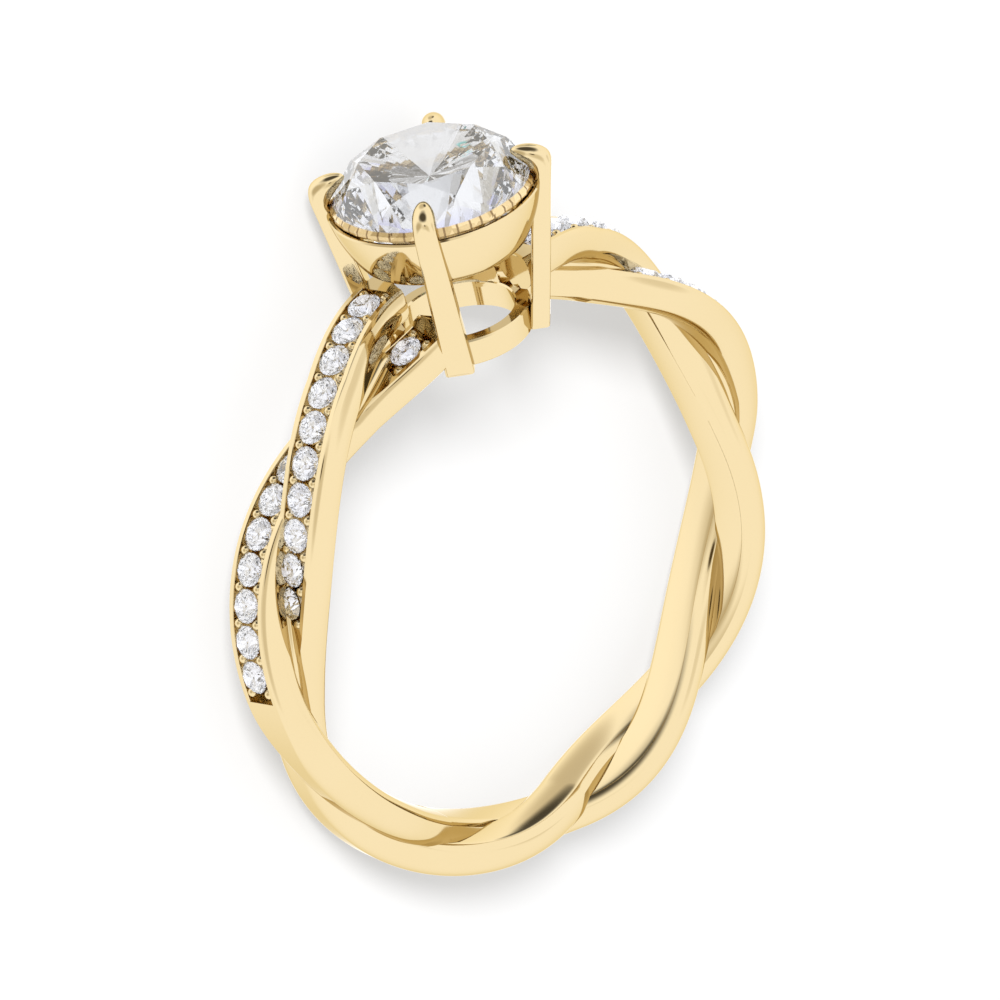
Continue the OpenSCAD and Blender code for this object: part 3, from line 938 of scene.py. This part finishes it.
def make_ball(name, radius, around=12, rings=8):
    points, faces = [(0, 0, radius)], []
    for j in range(1, rings):
        tip = math.pi * j / rings
        for i in range(around):
            a = 2 * math.pi * i / around
            x, y = math.sin(tip) * math.cos(a), math.sin(tip) * math.sin(a)
            points.append((radius * x, radius * y, radius * math.cos(tip)))
    points.append((0, 0, -radius))
    faces += [(0, 1 + i, 1 + (i + 1) % around) for i in range(around)]
    for j in range(rings - 2):
        a, b = 1 + j * around, 1 + (j + 1) * around
        faces += [(a + i, b + i, b + (i + 1) % around, a + (i + 1) % around) for i in range(around)]
    last, end = 1 + (rings - 2) * around, len(points) - 1
    faces += [(last + i, end, last + (i + 1) % around) for i in range(around)]
    return make_object(name, points, faces, gold, sharp_deg=60, upright=True)


def spot_on(theta, strand, sideways, height):
    """A place on a strand's outer face with its axes: along, sideways, outward."""
    along, side, out = strand_axes(np.float64(theta), strand)
    place = strand_at(theta, strand) + side * sideways + out * (STRAND_T / 2 + height)
    return place, [along, side, out]


grain_spots = []
for row in ROWS.values():
    for theta in row["grains"]:
        for side in (-1, 1):
            place = spot_on(theta, row["strand"], side * GRAIN_SIDE, GRAIN_UP - GRAIN_D / 2)
            grain_spots.append(place)
one_grain = make_ball("one_grain", GRAIN_D / 2)
grains = set_on_spots("grains", one_grain, both_shoulders(grain_spots), gold, sharp_deg=60)
print("grains:", 2 * len(grain_spots))

# %% [markdown]
# ## Round brilliants
# The cut has a table, eight stars, eight kites and sixteen upper halves on the crown, a thin
# girdle, and sixteen lower halves and eight mains on the pavilion. Every point follows from the
# table, the crown's height and the pavilion's angle, so one function makes the main stone and the
# small ones. The main stone has twice as many halves and mains, which no real one has: the
# photographed stone sparkles more finely than eight mains do here.

# %% Brilliant cut
LOWER_HALVES = 0.24  # radius at which the mains are widest, as a share of the girdle's


def brilliant(d, table, crown, band, fine=1):
    """fine=1 gives the usual cut; fine=2 doubles the upper halves, the girdle and the pavilion."""
    r, tr = d / 2, table / 2
    top = band + crown
    mains, around = 8 * fine, 16 * fine
    star_r = 0.5 * (r + tr)
    cos_half = math.cos(math.radians(22.5))
    star_z = top - crown * (star_r * cos_half - tr) / (r - tr)
    deep = r * math.tan(math.radians(PAVILION_ANGLE))
    low_r = LOWER_HALVES * r
    low_z = -deep + deep * low_r * math.cos(math.pi / mains) / r

    def ring(radius, z, count, start):
        turn = np.radians(start + 360 / count * np.arange(count))
        return [(radius * math.cos(a), radius * math.sin(a), z) for a in turn]

    points = ring(tr, top, 8, 0) + ring(star_r, star_z, 8, 22.5) + ring(r, band, around, 0)
    points += ring(r, 0.0, around, 0) + ring(low_r, low_z, mains, 180 / mains) + [(0, 0, -deep)]
    upper, lower, low, culet = 16, 16 + around, 16 + 2 * around, 16 + 2 * around + mains
    faces = [tuple(range(8))]
    for i in range(8):
        tip, corner = 8 + i, upper + 2 * fine * i
        faces += [(i, tip, (i + 1) % 8), (i, 8 + (i + 7) % 8, corner, tip)]
        for k in range(2 * fine):
            faces.append((tip, corner + k, upper + (2 * fine * i + k + 1) % around))
    for k in range(around):
        after = (k + 1) % around
        faces.append((upper + k, lower + k, lower + after, upper + after))
        faces.append((lower + k, low + k // 2, lower + after))
    for i in range(mains):
        faces.append((lower + 2 * i, low + (i - 1) % mains, culet, low + i))
    return np.array(points), faces


print("facets of a usual brilliant:", len(brilliant(1.0, 0.6, 0.15, 0.02)[1]))

# %% Main stone
stone_shape, stone_faces = brilliant(STONE_D, TABLE_D, CROWN_H, GIRDLE_T, fine=2)
main_stone = make_object("main_brilliant", stone_shape + [0, 0, STONE_Z], stone_faces, diamond)
print("main stone facets:", len(main_stone.data.polygons))

# %% Small stones
ACCENT_TABLE, ACCENT_CROWN, ACCENT_BAND = 0.62, 0.17, 0.05
small_shape, small_faces = brilliant(ACCENT_D, ACCENT_TABLE, ACCENT_CROWN, ACCENT_BAND)
one_accent = make_object("one_accent", small_shape, small_faces, small_diamond, upright=True)
accent_spots = []
for row in ROWS.values():
    for theta in row["angles"]:
        accent_spots.append(spot_on(theta, row["strand"], 0.0, -GIRDLE_DROP))
accents = set_on_spots(
    "accent_brilliants", one_accent, both_shoulders(accent_spots), small_diamond,
    most_spin=math.pi / 4, seed=7,
)
print("small stones:", 2 * len(accent_spots), "faces:", len(accents.data.polygons))

# %% [markdown]
# ## What each piece stands for
# The finer pieces ride on the ring's one body and replace its CAD nodes, which stay for collision,
# hidden.

# %% Ride and replace
metal_pieces = strands + [seam, seat, base, prongs, grains]
for piece in metal_pieces:
    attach(piece, "root")
    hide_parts("metal")
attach(main_stone, "root")
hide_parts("main_stone")
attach(accents, "root")
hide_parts(*[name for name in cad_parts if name.startswith("accent_")])
print("metal pieces:", [piece.name for piece in metal_pieces])

# %% [markdown]
# ## Clean stones
# Cut well, a brilliant returns light to the front and shows little of its setting. The stones here
# let some rays out at the back, so the gold is kept out of what is seen through them.

# %% Keep the gold out of the stones
for piece in metal_pieces:
    piece.visible_transmission = False
print("pieces kept out of the stones:", len(metal_pieces))

# %% [markdown]
# ## Studio
# The photograph is a plain product shot: a near-white floor, a wide soft light and a faint shadow.
# The floor is grey paper that glows a little by itself: it comes out near white and still takes a
# weak shadow, and one soft box gives that shadow its direction. A polished ring is only as good as
# what it mirrors, so floor and lamp are hidden from mirrors and from what is seen through the
# stones, and the sky alone is shaped for both.

# %% Floor
FLOOR_HALF = 1.5
FLOOR_GREY, FLOOR_GLOW = (0.22, 0.22, 0.222, 1.0), 0.45
FLOOR_ROUGHNESS, GRAIN_ROUGHNESS, GRAIN_SCALE = 0.75, 0.1, 900.0
WHITE = (1.0, 1.0, 1.0, 1.0)


def make_floor():
    material, tree, shader, place = new_material("floor_paper")
    grain = noise(tree, place, GRAIN_SCALE, 2.0)
    drive(tree, shader, "Roughness", grain * GRAIN_ROUGHNESS + FLOOR_ROUGHNESS)
    shader.inputs["Base Color"].default_value = FLOOR_GREY
    shader.inputs["Specular IOR Level"].default_value = 0.0
    shader.inputs["Emission Color"].default_value = WHITE
    shader.inputs["Emission Strength"].default_value = FLOOR_GLOW
    mesh = bpy.data.meshes.new("floor")
    corners = [(-1, -1), (1, -1), (1, 1), (-1, 1)]
    mesh.from_pydata([(x * FLOOR_HALF, y * FLOOR_HALF, 0) for x, y in corners], [], [(0, 1, 2, 3)])
    mesh.materials.append(material)
    floor = bpy.data.objects.new("floor", mesh)
    bpy.context.scene.collection.objects.link(floor)
    floor.visible_glossy = False
    floor.visible_transmission = False


make_floor()
print("floor side in metres:", 2 * FLOOR_HALF)

# %% [markdown]
# ## Sky
# What the metal mirrors matters more than what lights it. The sky is even and brighter than white,
# to make up for the dark tints of the gold and the stones, with a few soft patches named by where
# they stand for the upright ring: degrees round from the near side towards the left shoulder, and
# degrees up towards the head. Dark ones give the gold its browns and the stones their contrast, and
# the two slightly bright ones on the far side its lightest parts. A patch's colour is its level
# raised to one power each for red, green and blue, so that warm ones are brown where they are dark.

# %% Soft patches in the sky
SKY_LEVEL = 1.45
WARM, NEUTRAL = (1.0, 1.15, 1.5), (1.0, 1.0, 1.0)
SKY_PATCHES = [
    # round, up, inner degrees, outer degrees, level, powers of the level for red, green and blue
    (92, 24, 10, 40, 0.55, WARM),
    (30, 14, 6, 32, 0.7, WARM),
    (0, 90, 17, 38, 0.08, (1.0, 1.03, 1.08)),
    (-127, 33, 3, 10, 0.1, NEUTRAL),
    (-141, 36, 2, 18, 0.6, (1.0, 1.12, 1.35)),
    (-45, 4, 4, 18, 0.8, WARM),
    (37, 30, 3, 8, 0.1, WARM),
    (-130, -8, 22, 62, 1.08, NEUTRAL),
    (172, 30, 8, 40, 1.08, NEUTRAL),
]


def sky_direction(round_deg, up_deg):
    a, b = math.radians(round_deg), math.radians(up_deg)
    return LIE @ np.array([math.sin(a) * math.cos(b), math.cos(a) * math.cos(b), math.sin(b)])


def make_sky():
    world = bpy.data.worlds.new("studio")
    bpy.context.scene.world = world
    world.use_nodes = True
    tree = world.node_tree
    tree.nodes.clear()
    look = node(tree, "ShaderNodeTexCoord", output="Generated")
    level = None
    for round_deg, up_deg, inner, outer, value, powers in SKY_PATCHES:
        near = reach_along(tree, look, tuple(sky_direction(round_deg, up_deg)))
        outer_cos, inner_cos = (math.cos(math.radians(deg)) for deg in (outer, inner))
        tint = tuple(value ** power for power in powers) + (1.0,)
        patch = blend(tree, step_between(tree, near, outer_cos, inner_cos), WHITE, tint)
        level = patch if level is None else node(
            tree, "ShaderNodeMix", {"data_type": "RGBA", "blend_type": "MULTIPLY"},
            {0: 1.0, 6: level, 7: patch}, 2,
        )
    sky = node(tree, "ShaderNodeBackground", None, {"Color": level, "Strength": SKY_LEVEL})
    end = tree.nodes.new("ShaderNodeOutputWorld")
    tree.links.new(sky.socket, end.inputs["Surface"])


make_sky()
print("sky patches:", len(SKY_PATCHES))

# %% [markdown]
# ## Lamp and light paths
# The lamp is a round soft box above the floor, aimed at the ring. Light in a cut stone is thrown
# about many times before it leaves, and so is light between the strands: with few bounces the
# stones turn flat grey and the crevices black, so the limits are set higher than usual.

# %% Soft box and bounces
KEY_PLACE, KEY_SIZE, KEY_POWER = (0.22, -0.38, 0.4), 0.2, 8.0
BOUNCES = {"max_bounces": 20, "glossy_bounces": 10, "transmission_bounces": 20}


def soft_box(name, place, size, power):
    light = bpy.data.lights.new(name, "AREA")
    light.shape = "DISK"
    light.size = size
    light.energy = power
    lamp = bpy.data.objects.new(name, light)
    lamp.location = place
    lamp.rotation_euler = (-Vector(place)).to_track_quat("-Z", "Y").to_euler()
    lamp.visible_glossy = False
    lamp.visible_transmission = False
    bpy.context.scene.collection.objects.link(lamp)


soft_box("key_box", KEY_PLACE, KEY_SIZE, KEY_POWER)
for limit, count in BOUNCES.items():
    setattr(bpy.context.scene.cycles, limit, count)
bpy.context.scene.view_settings.view_transform = "Standard"
print("lamp at", KEY_PLACE, "light paths:", BOUNCES)
